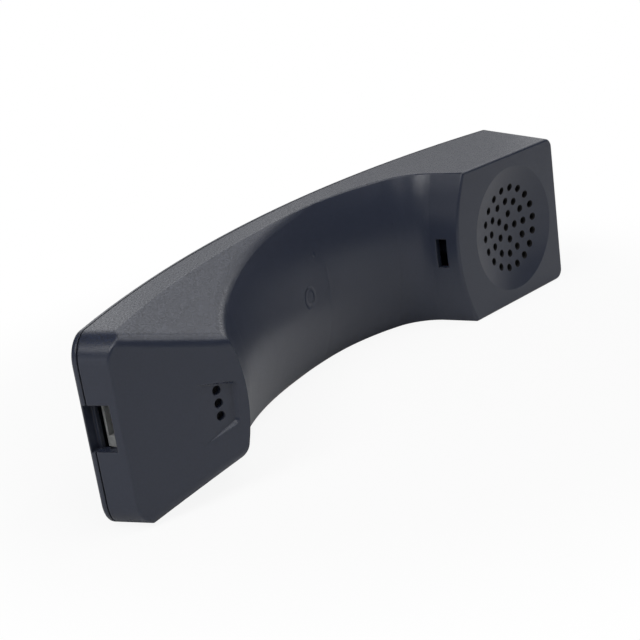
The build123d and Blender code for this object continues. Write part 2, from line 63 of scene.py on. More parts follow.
# %% [markdown]
# ## Building materials from nodes
# A material is a graph of small nodes. A few helpers keep the graphs short enough to read.
# `node` makes one node and fills its sockets with numbers, colours or links from other nodes.
# `calc` and `vector_calc` make one Math node each, and most masks are built from those two.


# %% Helpers that make one node
def plug(tree, socket, value):
    if isinstance(value, bpy.types.NodeSocket):
        tree.links.new(value, socket)
    else:
        socket.default_value = value


def node(tree, kind, settings=None, **inputs):
    made = tree.nodes.new("ShaderNode" + kind)
    for name, value in (settings or {}).items():
        setattr(made, name, value)
    for name, value in inputs.items():
        plug(tree, made.inputs[name.replace("_", " ")], value)
    return made


def calc(tree, operation, first, second=0.0):
    made = tree.nodes.new("ShaderNodeMath")
    made.operation = operation
    plug(tree, made.inputs[0], first)
    plug(tree, made.inputs[1], second)
    return made.outputs[0]


def vector_calc(tree, operation, first, second=None):
    made = tree.nodes.new("ShaderNodeVectorMath")
    made.operation = operation
    plug(tree, made.inputs[0], first)
    if second is not None:
        socket = made.inputs["Scale"] if operation == "SCALE" else made.inputs[1]
        plug(tree, socket, second)
    gives_a_number = operation in ("DOT_PRODUCT", "LENGTH")
    return made.outputs["Value" if gives_a_number else "Vector"]


print("helpers:", plug.__name__, node.__name__, calc.__name__, vector_calc.__name__)

# %% [markdown]
# ## Steps and mixes
# `ramp` turns a measured value into a smooth step, which is how a distance becomes a mask.
# `blend` mixes two colours by such a mask. Nearly every finish below is a few of these in a row.


# %% Helpers for masks and colours
def ramp(tree, value, low, high, start=0.0, end=1.0):
    """Turns a value between low and high into a smooth step from start to end."""
    made = node(
        tree, "MapRange", {"interpolation_type": "SMOOTHSTEP"},
        Value=value, From_Min=low, From_Max=high, To_Min=start, To_Max=end,
    )
    return made.outputs["Result"]


def blend(tree, mask, first, second):
    """Mixes two colours by a mask."""
    made = tree.nodes.new("ShaderNodeMix")
    made.data_type = "RGBA"
    plug(tree, made.inputs["Factor"], mask)
    for letter, colour in (("A", first), ("B", second)):
        socket = [item for item in made.inputs if item.name == letter and item.type == "RGBA"][0]
        plug(tree, socket, (*colour, 1) if isinstance(colour, tuple) else colour)
    return [item for item in made.outputs if item.type == "RGBA"][0]


def shades(colour, amount):
    """A darker and a lighter neighbour of a colour."""
    return tuple(v * (1 - amount) for v in colour), tuple(v * (1 + amount) for v in colour)


print("helpers:", ramp.__name__, blend.__name__, shades.__name__)

# %% [markdown]
# ## Shared effects
# Grain, soft edges, rings and weave are each used by several finishes. Such an effect is built
# once, as a node group with named sockets, and placed in each material with its own values.


# %% Helpers for shared effects
def shared_effect(name, inputs, outputs):
    """Empty node group with named sockets, and where its inputs come from and outputs go to."""
    group = bpy.data.node_groups.new(name, "ShaderNodeTree")
    for title, kind, value in inputs:
        kind = "NodeSocket" + kind
        socket = group.interface.new_socket(title, in_out="INPUT", socket_type=kind)
        socket.default_value = value
    for title, kind in outputs:
        group.interface.new_socket(title, in_out="OUTPUT", socket_type="NodeSocket" + kind)
    source = group.nodes.new("NodeGroupInput")
    sink = group.nodes.new("NodeGroupOutput")
    return group, source.outputs, sink.inputs


def place_effect(tree, group, **inputs):
    made = tree.nodes.new("ShaderNodeGroup")
    made.node_tree = group
    for name, value in inputs.items():
        plug(tree, made.inputs[name.replace("_", " ")], value)
    return made.outputs


print("helpers:", shared_effect.__name__, place_effect.__name__)

# %% [markdown]
# ## Effect: spark grain
# A telephone's mould is eaten out by sparks, so its plastic comes out covered in tiny pits.
# Two sizes of noise make it: pits half a millimetre wide or less, and a slower swell under them.
# The height feeds a bump, and the mask breaks up the gloss and sets painted glints in the colour,
# so the grain sparkles.

# %% Spark grain
spark_grain, given, result = shared_effect(
    "spark_grain",
    [("Pits per Metre", "Float", 2400.0)],
    [("Height", "Float"), ("Mask", "Float")],
)
swell_scale, swell_share = 0.3, 0.35
place = node(spark_grain, "TexCoord").outputs["Object"]
per_metre = given["Pits per Metre"]
pits = node(spark_grain, "TexNoise", Vector=place, Scale=per_metre, Detail=2.0, Roughness=0.6)
slower = calc(spark_grain, "MULTIPLY", per_metre, swell_scale)
swell = node(spark_grain, "TexNoise", Vector=place, Scale=slower, Detail=1.0)
lowered = calc(spark_grain, "MULTIPLY", swell.outputs["Fac"], swell_share)
height = calc(spark_grain, "ADD", pits.outputs["Fac"], lowered)
spark_grain.links.new(height, result["Height"])
spark_grain.links.new(ramp(spark_grain, pits.outputs["Fac"], 0.3, 0.7), result["Mask"])
print("effect:", spark_grain.name)

# %% [markdown]
# ## Effect: soft edges
# Moulded edges are never knife sharp, and hands polish them further. The Bevel node looks round
# each point and rounds the normal near an edge. The lean of that normal marks the edge.

# %% Soft edges
soft_edges, given, result = shared_effect(
    "soft_edges",
    [("Radius", "Float", 0.0004)],
    [("Normal", "Vector"), ("Edge", "Float")],
)
rounded = node(soft_edges, "Bevel", {"samples": 4}, Radius=given["Radius"]).outputs["Normal"]
true_normal = node(soft_edges, "NewGeometry").outputs["Normal"]
lean = vector_calc(soft_edges, "DOT_PRODUCT", rounded, true_normal)
soft_edges.links.new(rounded, result["Normal"])
soft_edges.links.new(ramp(soft_edges, lean, 0.98, 0.8), result["Edge"])
print("effect:", soft_edges.name)

# %% [markdown]
# ## Effect: distance from an axis
# Discs, coils, screws and solder pads are all round something. This effect measures how far a
# point is from an axis, and how far along it. A material turns these into rings or spots.

# %% Distance from an axis
from_axis, given, result = shared_effect(
    "from_axis",
    [("Centre", "Vector", (0, 0, 0)), ("Direction", "Vector", (0, 0, 1))],
    [("Distance", "Float"), ("Along", "Float")],
)
place = node(from_axis, "TexCoord").outputs["Object"]
offset = vector_calc(from_axis, "SUBTRACT", place, given["Centre"])
along = vector_calc(from_axis, "DOT_PRODUCT", offset, given["Direction"])
on_axis = vector_calc(from_axis, "SCALE", given["Direction"], along)
sideways = vector_calc(from_axis, "SUBTRACT", offset, on_axis)
from_axis.links.new(vector_calc(from_axis, "LENGTH", sideways), result["Distance"])
from_axis.links.new(along, result["Along"])
print("effect:", from_axis.name)

# %% [markdown]
# ## Effect: weave
# Acoustic cloth is a plain weave of fine black thread, and a circuit board shows its glass cloth.
# Two waves at right angles, one for each set of threads, multiply into a grid of small bumps.
# The last Math node halves the result and adds the 0.5 of its third socket, for a range of 0 to 1.

# %% Weave
weave, given, result = shared_effect(
    "weave",
    [("Pitch", "Float", 0.0004)],
    [("Height", "Float")],
)
axes = node(weave, "SeparateXYZ")
weave.links.new(node(weave, "TexCoord").outputs["Object"], axes.inputs[0])
turns = calc(weave, "DIVIDE", 2 * pi, given["Pitch"])
warp = calc(weave, "SINE", calc(weave, "MULTIPLY", axes.outputs["X"], turns))
weft = calc(weave, "SINE", calc(weave, "MULTIPLY", axes.outputs["Z"], turns))
crossing = calc(weave, "MULTIPLY", warp, weft)
weave.links.new(calc(weave, "MULTIPLY_ADD", crossing, 0.5), result["Height"])
print("effect:", weave.name)

# %% [markdown]
# ## A blank material
# Every finish starts from the same Principled shader. Its plain numbers are set on its own
# sockets. Grain and rings reach it through a Bump node, whose distance is their true height.


# %% Blank material and bump
def blank(name, colour, rough, metal=0.0):
    material = bpy.data.materials.new(name)
    material.use_nodes = True
    tree = material.node_tree
    shader = tree.nodes["Principled BSDF"]
    shader.inputs["Base Color"].default_value = (*colour, 1)
    shader.inputs["Roughness"].default_value = rough
    shader.inputs["Metallic"].default_value = metal
    return material, tree, shader


def raise_surface(tree, shader, height, distance, strength=1.0, normal=None):
    bump = node(tree, "Bump", Height=height, Distance=distance, Strength=strength)
    if normal is not None:
        tree.links.new(normal, bump.inputs["Normal"])
    tree.links.new(bump.outputs["Normal"], shader.inputs["Normal"])
    return bump


def ridges(tree, value, pitch):
    """Even ridges along a measured value, from 0 to 1. The third socket adds its own 0.5."""
    wave = calc(tree, "SINE", calc(tree, "MULTIPLY", value, 2 * pi / pitch))
    return calc(tree, "MULTIPLY_ADD", wave, 0.5)


def clouds(tree, scale, detail=3.0, stretch=(1, 1, 1)):
    """Slow random variation, stretched along an axis where a number is small."""
    place = node(tree, "TexCoord").outputs["Object"]
    moved = node(tree, "Mapping", Vector=place, Scale=stretch).outputs[0]
    return node(tree, "TexNoise", Vector=moved, Scale=scale, Detail=detail).outputs["Fac"]


print("helpers:", blank.__name__, raise_surface.__name__, ridges.__name__, clouds.__name__)

# %% [markdown]
# ## Where things are
# The receiver and the microphone each sit on an axis that leans with its face. Pieces round an
# axis have their box centred on it, so the axes are read from the model, not placed by eye.


# %% Axes of the receiver and the microphone
def middle_of(name):
    low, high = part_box(name)
    return (Vector(low) + Vector(high)) / 2


ear_tilt = radians(10.15)
mouth_tilt = radians(24.0)
ear_out = Vector((-sin(ear_tilt), -cos(ear_tilt), 0))
ear_along = Vector((cos(ear_tilt), -sin(ear_tilt), 0))
mouth_out = Vector((-sin(mouth_tilt), -cos(mouth_tilt), 0))
upward = Vector((0, 0, 1))
ear_centre = middle_of("receiver_yoke")
mic_centre = middle_of("mic_can")
print("receiver axis through, in mm:", [round(v / mm, 1) for v in ear_centre])

# %% [markdown]
# ## Rims of the grille's holes
# The real holes have rounded rims that fall into shadow, so they look wider than the drill.
# The rims could be cut as small fillets, but 36 of them would cost many faces. A mask that knows
# where the three rings of holes stand darkens them instead, in front of the receiver only.

# %% Mask for the hole rims
hole_rings = ((5, 4.3, 71.0), (12, 8.45, 90.0), (18, 12.7, 81.0))
rim_inside, rim_outside = 1.12 * mm, 1.26 * mm


def hole_rims(tree):
    """Mask that is 1 over each hole and its rim. A ring is its count, radius and first angle."""
    ear = place_effect(tree, from_axis, Centre=ear_centre, Direction=ear_out)
    place = node(tree, "TexCoord").outputs["Object"]
    away = vector_calc(tree, "SUBTRACT", place, ear_centre)
    up = vector_calc(tree, "DOT_PRODUCT", away, upward)
    across = vector_calc(tree, "DOT_PRODUCT", away, ear_along)
    angle = calc(tree, "ARCTAN2", up, across)
    nearest = ear["Distance"]
    for count, radius, first in hole_rings:
        step = 2 * pi / count
        turns = calc(tree, "DIVIDE", calc(tree, "SUBTRACT", angle, radians(first)), step)
        part = calc(tree, "SUBTRACT", turns, calc(tree, "ROUND", turns))
        sideways = calc(tree, "MULTIPLY", part, step * radius * mm)
        outward = calc(tree, "SUBTRACT", ear["Distance"], radius * mm)
        across_squared = calc(tree, "POWER", sideways, 2.0)
        squares = calc(tree, "ADD", across_squared, calc(tree, "POWER", outward, 2.0))
        nearest = calc(tree, "MINIMUM", nearest, calc(tree, "SQRT", squares))
    in_front = ramp(tree, ear["Along"], 2 * mm, 3 * mm)
    near = ramp(tree, nearest, rim_inside, rim_outside, 1.0, 0.0)
    return calc(tree, "MULTIPLY", near, in_front)


print("grille holes:", 1 + sum(count for count, radius, first in hole_rings))

# %% [markdown]
# ## Marks on the handle
# An ejector pin leaves a round witness mark in the middle of the handle, and there is a tiny pip
# above it. Neither is deeper than a sheet of paper is thick, so they are a bump, not geometry.
# Their masks follow a straight axis, so a faint copy shows on the cover behind them too.

# %% Height of the two marks
pin_place, pin_radius = (-9.0 * mm, 0, 24.1 * mm), 2.5 * mm
pip_place = (-2.2 * mm, 0, 34.7 * mm)
straight_back = (0, 1, 0)


def handle_marks(tree):
    """Depth of the pin's ring, from 0 to 1, less the height of the pip."""
    pin = place_effect(tree, from_axis, Centre=pin_place, Direction=straight_back)
    off_rim = calc(tree, "ABSOLUTE", calc(tree, "SUBTRACT", pin["Distance"], pin_radius))
    ring = ramp(tree, off_rim, 0.1 * mm, 0.9 * mm, 1.0, 0.0)
    pip = place_effect(tree, from_axis, Centre=pip_place, Direction=straight_back)
    bead = ramp(tree, pip["Distance"], 0.3 * mm, 0.9 * mm, 1.0, 0.0)
    return calc(tree, "SUBTRACT", ring, bead)


print("witness mark, mm across:", round(2 * pin_radius / mm, 1))

# %% [markdown]
# ## Shell plastic
# Both shells are moulded in dark slate plastic. The spark grain is strong on the long side walls
# and faint on the faces that a hand or an ear meets. Its lighter flecks are painted glints,
# painted highlights that are strongest where the surface faces up or down. Two materials would
# leave a hard seam where they meet, so the lean of the surface sets the strength. Hands leave
# faint clouds in the gloss, and the edges are a little paler in colour.

# %% Shell plastic
slate = (0.027, 0.033, 0.054)
pale_edge_slate = (0.075, 0.08, 0.09)
hole_shadow = (0.003, 0.003, 0.004)
faint_grain_and_glints, strong_grain_and_glints = 0.1, 1.0
grain_depth, mark_depth = 0.06 * mm, 0.13 * mm
glint_contrast, fleck_gloss = 0.45, 0.24
edge_radius, edge_paling = 0.45 * mm, 0.35
bare_roughness, handled_roughness, added_in_holes = 0.33, 0.3, 0.67


def make_shell_plastic():
    material, tree, shader = blank("shell_plastic", slate, 0.4)
    grain = place_effect(tree, spark_grain, Pits_per_Metre=2000.0)
    edges = place_effect(tree, soft_edges, Radius=edge_radius)
    rims = hole_rims(tree)

    facing = node(tree, "NewGeometry").outputs["Normal"]
    facing_up = calc(tree, "ABSOLUTE", vector_calc(tree, "DOT_PRODUCT", facing, upward))
    grain_and_glint_strength = ramp(tree, facing_up, 0.3, 1.0, faint_grain_and_glints, strong_grain_and_glints)
    grain_and_glint_swing = calc(tree, "MULTIPLY", calc(tree, "SUBTRACT", grain["Mask"], 0.5), grain_and_glint_strength)

    # painted glints: flecks of lighter colour, with darker ones between, strongest where the
    # surface faces up or down
    darker, lighter = shades(slate, glint_contrast)
    painted_glints = blend(tree, calc(tree, "ADD", grain_and_glint_swing, 0.5), darker, lighter)
    # the edges are made a little paler in colour
    paled_edges = calc(tree, "MULTIPLY", edges["Edge"], edge_paling)
    edged = blend(tree, paled_edges, painted_glints, pale_edge_slate)
    tree.links.new(blend(tree, rims, edged, hole_shadow), shader.inputs["Base Color"])

    handled = ramp(tree, clouds(tree, 30.0, 1.0), 0.2, 0.8)
    rough = ramp(tree, handled, 0.0, 1.0, bare_roughness, handled_roughness)
    rough = calc(tree, "SUBTRACT", rough, calc(tree, "MULTIPLY", grain_and_glint_swing, fleck_gloss))
    rough = calc(tree, "ADD", rough, calc(tree, "MULTIPLY", rims, added_in_holes))
    tree.links.new(rough, shader.inputs["Roughness"])

    relief = calc(tree, "MULTIPLY", grain["Height"], grain_and_glint_strength)
    grained = raise_surface(tree, shader, relief, grain_depth, 0.6, edges["Normal"])
    under = grained.outputs["Normal"]
    raise_surface(tree, shader, handle_marks(tree), -mark_depth, 0.8, under)
    return material


shell_plastic = make_shell_plastic()
print("finish:", shell_plastic.name)

# %% [markdown]
# ## Plain plastics
# The receiver's basket and its clamp are plain black plastic with a little glass fibre, which
# shows as faint pale streaks. The cord socket is a thin, pale, slightly see-through plastic that
# glows where light comes through its walls, so some light scatters under its surface.


# %% Black plastic and socket plastic
def make_black_plastic():
    dark = (0.016, 0.016, 0.018)
    fibre = (0.045, 0.045, 0.048)
    material, tree, shader = blank("black_plastic", dark, 0.5)
    grain = place_effect(tree, spark_grain, Pits_per_Metre=3600.0)
    edges = place_effect(tree, soft_edges, Radius=0.3 * mm)
    fibres = ramp(tree, clouds(tree, 900.0, 4.0, (0.12, 1, 1)), 0.58, 0.8)
    tree.links.new(blend(tree, fibres, dark, fibre), shader.inputs["Base Color"])
    rough = ramp(tree, grain["Mask"], 0.0, 1.0, 0.42, 0.56)
    tree.links.new(rough, shader.inputs["Roughness"])
    raise_surface(tree, shader, grain["Height"], 0.03 * mm, 0.5, edges["Normal"])
    return material


def make_jack_plastic():
    pale = (0.4, 0.41, 0.41)
    material, tree, shader = blank("jack_plastic", pale, 0.32)
    shader.inputs["Subsurface Weight"].default_value = 0.35
    shader.inputs["Subsurface Radius"].default_value = (1.0, 1.0, 0.95)
    shader.inputs["Subsurface Scale"].default_value = 1.5 * mm
    edges = place_effect(tree, soft_edges, Radius=0.2 * mm)
    flow = ramp(tree, clouds(tree, 260.0, 3.0, (0.3, 1, 1)), 0.3, 0.7)
    tree.links.new(blend(tree, flow, *shades(pale, 0.15)), shader.inputs["Base Color"])
    tree.links.new(ramp(tree, flow, 0.0, 1.0, 0.28, 0.4), shader.inputs["Roughness"])
    raise_surface(tree, shader, flow, 0.02 * mm, 0.4, edges["Normal"])
    return material


black_plastic = make_black_plastic()
jack_plastic = make_jack_plastic()
print("finishes:", black_plastic.name, jack_plastic.name)

# %% [markdown]
# ## Soft materials
# Cloth behind the holes keeps dust out, foam seals the receiver and damps the ballast, and a
# rubber boot holds the microphone. None of them shines, so they are rough. The cloth also has
# the pale sheen of loose fibre, the foam has open pores, and the rubber has a chalky bloom.


# %% Cloth, foam and rubber
def make_acoustic_cloth():
    thread = (0.008, 0.008, 0.009)
    material, tree, shader = blank("acoustic_cloth", thread, 0.92)
    shader.inputs["Sheen Weight"].default_value = 0.25
    threads = place_effect(tree, weave, Pitch=0.45 * mm)["Height"]
    # painted light and shade: the colour is lighter on the threads' tops and darker in the hollows
    # between them
    tree.links.new(blend(tree, threads, *shades(thread, 0.5)), shader.inputs["Base Color"])
    raise_surface(tree, shader, threads, 0.08 * mm)
    return material


def make_foam():
    grey = (0.022, 0.022, 0.024)
    pore_shadow = (0.006, 0.006, 0.006)
    material, tree, shader = blank("foam", grey, 0.95)
    place = node(tree, "TexCoord").outputs["Object"]
    cells = node(tree, "TexVoronoi", Vector=place, Scale=1900.0).outputs["Distance"]
    pore = ramp(tree, cells, 0.15, 0.55)
    tree.links.new(blend(tree, pore, pore_shadow, grey), shader.inputs["Base Color"])
    raise_surface(tree, shader, pore, 0.15 * mm, 0.9)
    return material


def make_boot_rubber():
    black = (0.012, 0.012, 0.013)
    chalky = (0.035, 0.035, 0.037)
    material, tree, shader = blank("boot_rubber", black, 0.7)
    bloom = ramp(tree, clouds(tree, 420.0), 0.5, 0.75)
    edges = place_effect(tree, soft_edges, Radius=0.3 * mm)
    tree.links.new(blend(tree, bloom, black, chalky), shader.inputs["Base Color"])
    tree.links.new(ramp(tree, bloom, 0.0, 1.0, 0.62, 0.85), shader.inputs["Roughness"])
    raise_surface(tree, shader, clouds(tree, 3000.0), 0.02 * mm, 0.5, edges["Normal"])
    return material


acoustic_cloth = make_acoustic_cloth()
foam = make_foam()
boot_rubber = make_boot_rubber()
print("finishes:", acoustic_cloth.name, foam.name, boot_rubber.name)

# %% [markdown]
# ## Film and copper
# The receiver's diaphragm is a thin film with pressed rings round its dome, which let it move.
# The coil is enamelled copper wire, wound in turns too fine to model, so its turns are ridges
# along its axis, with painted shade between them and a thin coat of enamel over them.


# %% Diaphragm film and copper coil
def make_film():
    grey = (0.42, 0.44, 0.47)
    material, tree, shader = blank("film", grey, 0.22)
    ear = place_effect(tree, from_axis, Centre=ear_centre, Direction=ear_out)
    rings = ridges(tree, ear["Distance"], 0.9 * mm)
    beyond_dome = ramp(tree, ear["Distance"], 8.6 * mm, 9.2 * mm)
    pressed = calc(tree, "MULTIPLY", rings, beyond_dome)
    haze = ramp(tree, clouds(tree, 120.0), 0.3, 0.7)
    tree.links.new(blend(tree, haze, *shades(grey, 0.12)), shader.inputs["Base Color"])
    tree.links.new(ramp(tree, haze, 0.0, 1.0, 0.16, 0.3), shader.inputs["Roughness"])
    raise_surface(tree, shader, pressed, 0.12 * mm)
    return material


def make_copper_wire():
    copper = (0.72, 0.30, 0.13)
    painted_shade_between_turns = (0.36, 0.13, 0.05)
    material, tree, shader = blank("copper_wire", copper, 0.3, 1.0)
    shader.inputs["Coat Weight"].default_value = 0.4
    ear = place_effect(tree, from_axis, Centre=ear_centre, Direction=ear_out)
    turns = ridges(tree, ear["Along"], 0.16 * mm)
    # painted shade: darker copper in the grooves between the turns
    tree.links.new(blend(tree, turns, painted_shade_between_turns, copper), shader.inputs["Base Color"])
    rough = ramp(tree, clouds(tree, 500.0), 0.3, 0.7, 0.24, 0.38)
    tree.links.new(rough, shader.inputs["Roughness"])
    raise_surface(tree, shader, turns, 0.05 * mm)
    return material


film = make_film()
copper_wire = make_copper_wire()
print("finishes:", film.name, copper_wire.name)

# %% [markdown]
# ## Tool marks
# Each metal piece shows how it was made. A lathe leaves fine rings, plating leaves a frost, and
# wire or bar that is drawn through a die has lines along its length. Each kind of mark is a small
# function that gives a height, so that one recipe for metal can take any of them.


# %% Tool marks on metal
def turned_rings(tree):
    ear = place_effect(tree, from_axis, Centre=ear_centre, Direction=ear_out)
    return ridges(tree, ear["Distance"], 0.18 * mm)


def can_rings(tree):
    mic = place_effect(tree, from_axis, Centre=mic_centre, Direction=mouth_out)
    return ridges(tree, mic["Distance"], 0.12 * mm)


def fine_frost(tree):
    return clouds(tree, 4200.0)


def drawn_lines(tree):
    return clouds(tree, 5200.0, 2.0, (0.04, 1, 1))


tool_marks = (turned_rings, can_rings, fine_frost, drawn_lines)
print("tool marks:", [marks.__name__ for marks in tool_marks])

# %% [markdown]
# ## Metals
# The yoke and its plate are turned and zinc plated. The magnet is nickel plated and bright, the
# microphone's can is aluminium with fine rings, the contacts are gold over drawn wire, and the
# ballast bar is steel with a dark skin. One recipe makes them all, from a colour, a gloss, the
# size of the mottling and the tool's marks, because a lone colour looks like grey plastic.


# %% Metals
def make_metal(name, colour, rough, mottle, marks, depth):
    """Metal with faint mottling. Marks gives the height of what the tool left."""
    material, tree, shader = blank(name, colour, rough, 1.0)
    edges = place_effect(tree, soft_edges, Radius=0.2 * mm)
    patches = ramp(tree, clouds(tree, mottle), 0.3, 0.7)
    tree.links.new(blend(tree, patches, *shades(colour, 0.12)), shader.inputs["Base Color"])
    patched = ramp(tree, patches, 0.0, 1.0, rough - 0.06, rough + 0.08)
    tree.links.new(patched, shader.inputs["Roughness"])
    raise_surface(tree, shader, marks(tree), depth, 0.7, edges["Normal"])
    return material


steel = make_metal("steel", (0.50, 0.50, 0.52), 0.34, 180.0, turned_rings, 0.01 * mm)
magnet_plating = make_metal(
    "magnet_plating", (0.60, 0.58, 0.54), 0.18, 90.0, fine_frost, 0.004 * mm)
capsule_metal = make_metal(
    "capsule_metal", (0.66, 0.67, 0.69), 0.3, 240.0, can_rings, 0.008 * mm)
gold_plating = make_metal(
    "gold_plating", (0.86, 0.58, 0.20), 0.24, 600.0, drawn_lines, 0.01 * mm)
ballast_steel = make_metal(
    "ballast_steel", (0.16, 0.155, 0.15), 0.52, 60.0, drawn_lines, 0.06 * mm)
metals = (steel, magnet_plating, capsule_metal, gold_plating, ballast_steel)
print("metals:", [metal.name for metal in metals])

# %% [markdown]
# ## Screw steel
# The three screws are plated steel with a cross recess. Each recess is a dark cross round the
# screw's axis: two slots, each long in one direction and narrow in the other, and both shorter
# than the head. Cutting it in the solid would add faces that nobody sees, so it is a deep bump.

# %% Screws with cross recesses
# each pair is where the slot's edge starts and where it ends
slot_half_length = (1.35 * mm, 1.5 * mm)
slot_half_width = (0.26 * mm, 0.36 * mm)
clamp_screw_offset = 21 * mm


def cross_recess(tree, centre, across, out):
    """Mask that is 1 inside a cross about an axis that points out of the head."""
    place = node(tree, "TexCoord").outputs["Object"]
    away = vector_calc(tree, "SUBTRACT", place, centre)
    arms = []
    for direction in (across, out.cross(across)):
        arms.append(calc(tree, "ABSOLUTE", vector_calc(tree, "DOT_PRODUCT", away, direction)))
    slots = []
    for long_way, short_way in (arms, arms[::-1]):
        length = ramp(tree, long_way, *slot_half_length, 1.0, 0.0)
        width = ramp(tree, short_way, *slot_half_width, 1.0, 0.0)
        slots.append(calc(tree, "MULTIPLY", length, width))
    return calc(tree, "MAXIMUM", *slots)


def make_screw_steel():
    colour, in_shadow = (0.46, 0.46, 0.48), (0.02, 0.02, 0.02)
    material = make_metal("screw_steel", colour, 0.36, 300.0, fine_frost, 0.01 * mm)
    tree = material.node_tree
    shader = tree.nodes["Principled BSDF"]
    x_axis, y_axis = Vector((1, 0, 0)), Vector((0, 1, 0))
    mask = cross_recess(tree, middle_of("ballast_screw"), x_axis, y_axis)
    for side in (-1, 1):
        centre = middle_of("clamp_screws") + ear_along * clamp_screw_offset * side
        recess = cross_recess(tree, centre, ear_along, -ear_out)
        mask = calc(tree, "MAXIMUM", mask, recess)
    plated = shader.inputs["Base Color"].links[0].from_socket
    tree.links.new(blend(tree, mask, plated, in_shadow), shader.inputs["Base Color"])
    under = shader.inputs["Normal"].links[0].from_socket
    cut = node(tree, "Bump", Height=mask, Distance=-0.8 * mm, Normal=under)
    tree.links.new(cut.outputs["Normal"], shader.inputs["Normal"])
    return material


screw_steel = make_screw_steel()
print("finish:", screw_steel.name)

# %% [markdown]
# ## Circuit boards
# The boards are glass cloth and resin under a green lacquer, with copper tracks that show as
# paler green. Each wire or contact ends in a bright round of solder. The rounds could be placed
# by hand, but each stands on the axis of the piece it joins, so the model says where they are.


# %% Circuit board
def solder_joints():
    """Centre and axis of each joint on the three boards."""
    pin_pitch, lead_spread = 1.2 * mm, 1.3 * mm
    contacts = middle_of("jack_contacts")
    joints = []
    for step in (-1.5, -0.5, 0.5, 1.5):
        joints.append((contacts + upward * pin_pitch * step, Vector((1, 0, 0))))
    for side in (-1, 1):
        joints.append((middle_of("receiver_board") + upward * side * pin_pitch, ear_out))
    for side in (-1, 1):
        joints.append((middle_of("mic_board") + upward * side * lead_spread, mouth_out))
    return joints


def make_circuit_board():
    green, over_copper = (0.012, 0.085, 0.035), (0.02, 0.15, 0.06)
    solder_grey = (0.62, 0.62, 0.6)
    material, tree, shader = blank("circuit_board", green, 0.3)
    cloth = place_effect(tree, weave, Pitch=0.7 * mm)["Height"]
    tracks = ramp(tree, clouds(tree, 260.0, 0.0, (1, 1, 0.25)), 0.52, 0.56)
    lacquer = blend(tree, tracks, green, over_copper)
    solder = None
    for centre, direction in solder_joints():
        spot = place_effect(tree, from_axis, Centre=centre, Direction=direction)
        disc = ramp(tree, spot["Distance"], 0.45 * mm, 0.55 * mm, 1.0, 0.0)
        solder = disc if solder is None else calc(tree, "MAXIMUM", solder, disc)
    tree.links.new(blend(tree, solder, lacquer, solder_grey), shader.inputs["Base Color"])
    tree.links.new(solder, shader.inputs["Metallic"])
    tree.links.new(ramp(tree, cloth, 0.0, 1.0, 0.24, 0.36), shader.inputs["Roughness"])
    tracks_and_solder = calc(tree, "MAXIMUM", tracks, solder)
    raised = raise_surface(tree, shader, tracks_and_solder, 0.06 * mm, 0.8)
    threads = node(tree, "Bump", Height=cloth, Distance=0.01 * mm, Normal=raised.outputs["Normal"])
    tree.links.new(threads.outputs["Normal"], shader.inputs["Normal"])
    return material


circuit_board = make_circuit_board()
print("finish:", circuit_board.name, "with solder joints:", len(solder_joints()))

# %% [markdown]
# ## Wires
# Two thin wires run to the receiver and two to the microphone. Every wire is a separate island
# of its mesh, and the Geometry node gives each island its own random number. One material can
# therefore colour the wires of a pair differently, between red and black.


# %% Wire sleeves
def make_wire_sleeve():
    red, black = (0.36, 0.018, 0.014), (0.02, 0.02, 0.022)
    dusty = (0.1, 0.1, 0.1)
    material, tree, shader = blank("wire_sleeve", (0.3, 0.02, 0.02), 0.4)
    island = node(tree, "NewGeometry").outputs["Random Per Island"]
    sleeve = blend(tree, ramp(tree, island, 0.2, 0.8), red, black)
    flow = ramp(tree, clouds(tree, 700.0), 0.3, 0.7)
    dusted = blend(tree, calc(tree, "MULTIPLY", flow, 0.2), sleeve, dusty)
    tree.links.new(dusted, shader.inputs["Base Color"])
    tree.links.new(ramp(tree, flow, 0.0, 1.0, 0.36, 0.5), shader.inputs["Roughness"])
    raise_surface(tree, shader, clouds(tree, 2600.0), 0.01 * mm, 0.6)
    return material


wire_sleeve = make_wire_sleeve()
print("finish:", wire_sleeve.name)

# %% [markdown]
# ## Dress every piece
# The pieces are grouped by finish, as a maker orders them. A piece that the list forgets would
# keep a plain grey, so the script compares the pieces it has dressed with those of the model.

# %% Dress every piece
finishes = {
    shell_plastic: ("front_shell", "rear_cover"),
    jack_plastic: ("jack_housing",),
    black_plastic: ("receiver_frame", "receiver_clamp"),
    acoustic_cloth: ("receiver_cloth", "mic_cloth"),
    foam: ("receiver_gasket", "ballast_pad"),
    boot_rubber: ("mic_boot",),
    film: ("receiver_diaphragm",),
    copper_wire: ("receiver_coil",),
    steel: ("receiver_top_plate", "receiver_yoke"),
    magnet_plating: ("receiver_magnet",),
    capsule_metal: ("mic_can",),
    gold_plating: ("jack_contacts",),
    ballast_steel: ("ballast_weight",),
    screw_steel: ("clamp_screws", "ballast_screw"),
    circuit_board: ("receiver_board", "mic_board", "jack_board"),
    wire_sleeve: ("receiver_leads", "mic_leads"),
}
dressed = set()
for material, names in finishes.items():
    for name in names:
        nodes[name].data.materials.clear()
        nodes[name].data.materials.append(material)
        dressed.add(name)
print("dressed:", len(dressed), "left out:", sorted(set(nodes) - dressed))

# %% [markdown]
# ## What sees white
# The handset lies on a white table before a white sheet. Lighting both until they clip would
# also flood the handset, so Light Path makes them white for rays that come from the camera. Rays
# that bounce off gloss or pass through glass see white only where the sheet stands, and a dim
# room elsewhere. That dimness is what keeps the faces toward the camera a deep slate.

# %% White for the camera and for the sheet's reflection
sheet_azimuth = radians(125)


def sheet_side(height_angle):
    """Direction from the handset to the sheet behind it, at an angle above the table."""
    rise = radians(height_angle)
    return (sin(sheet_azimuth) * cos(rise), -cos(sheet_azimuth) * cos(rise), sin(rise))


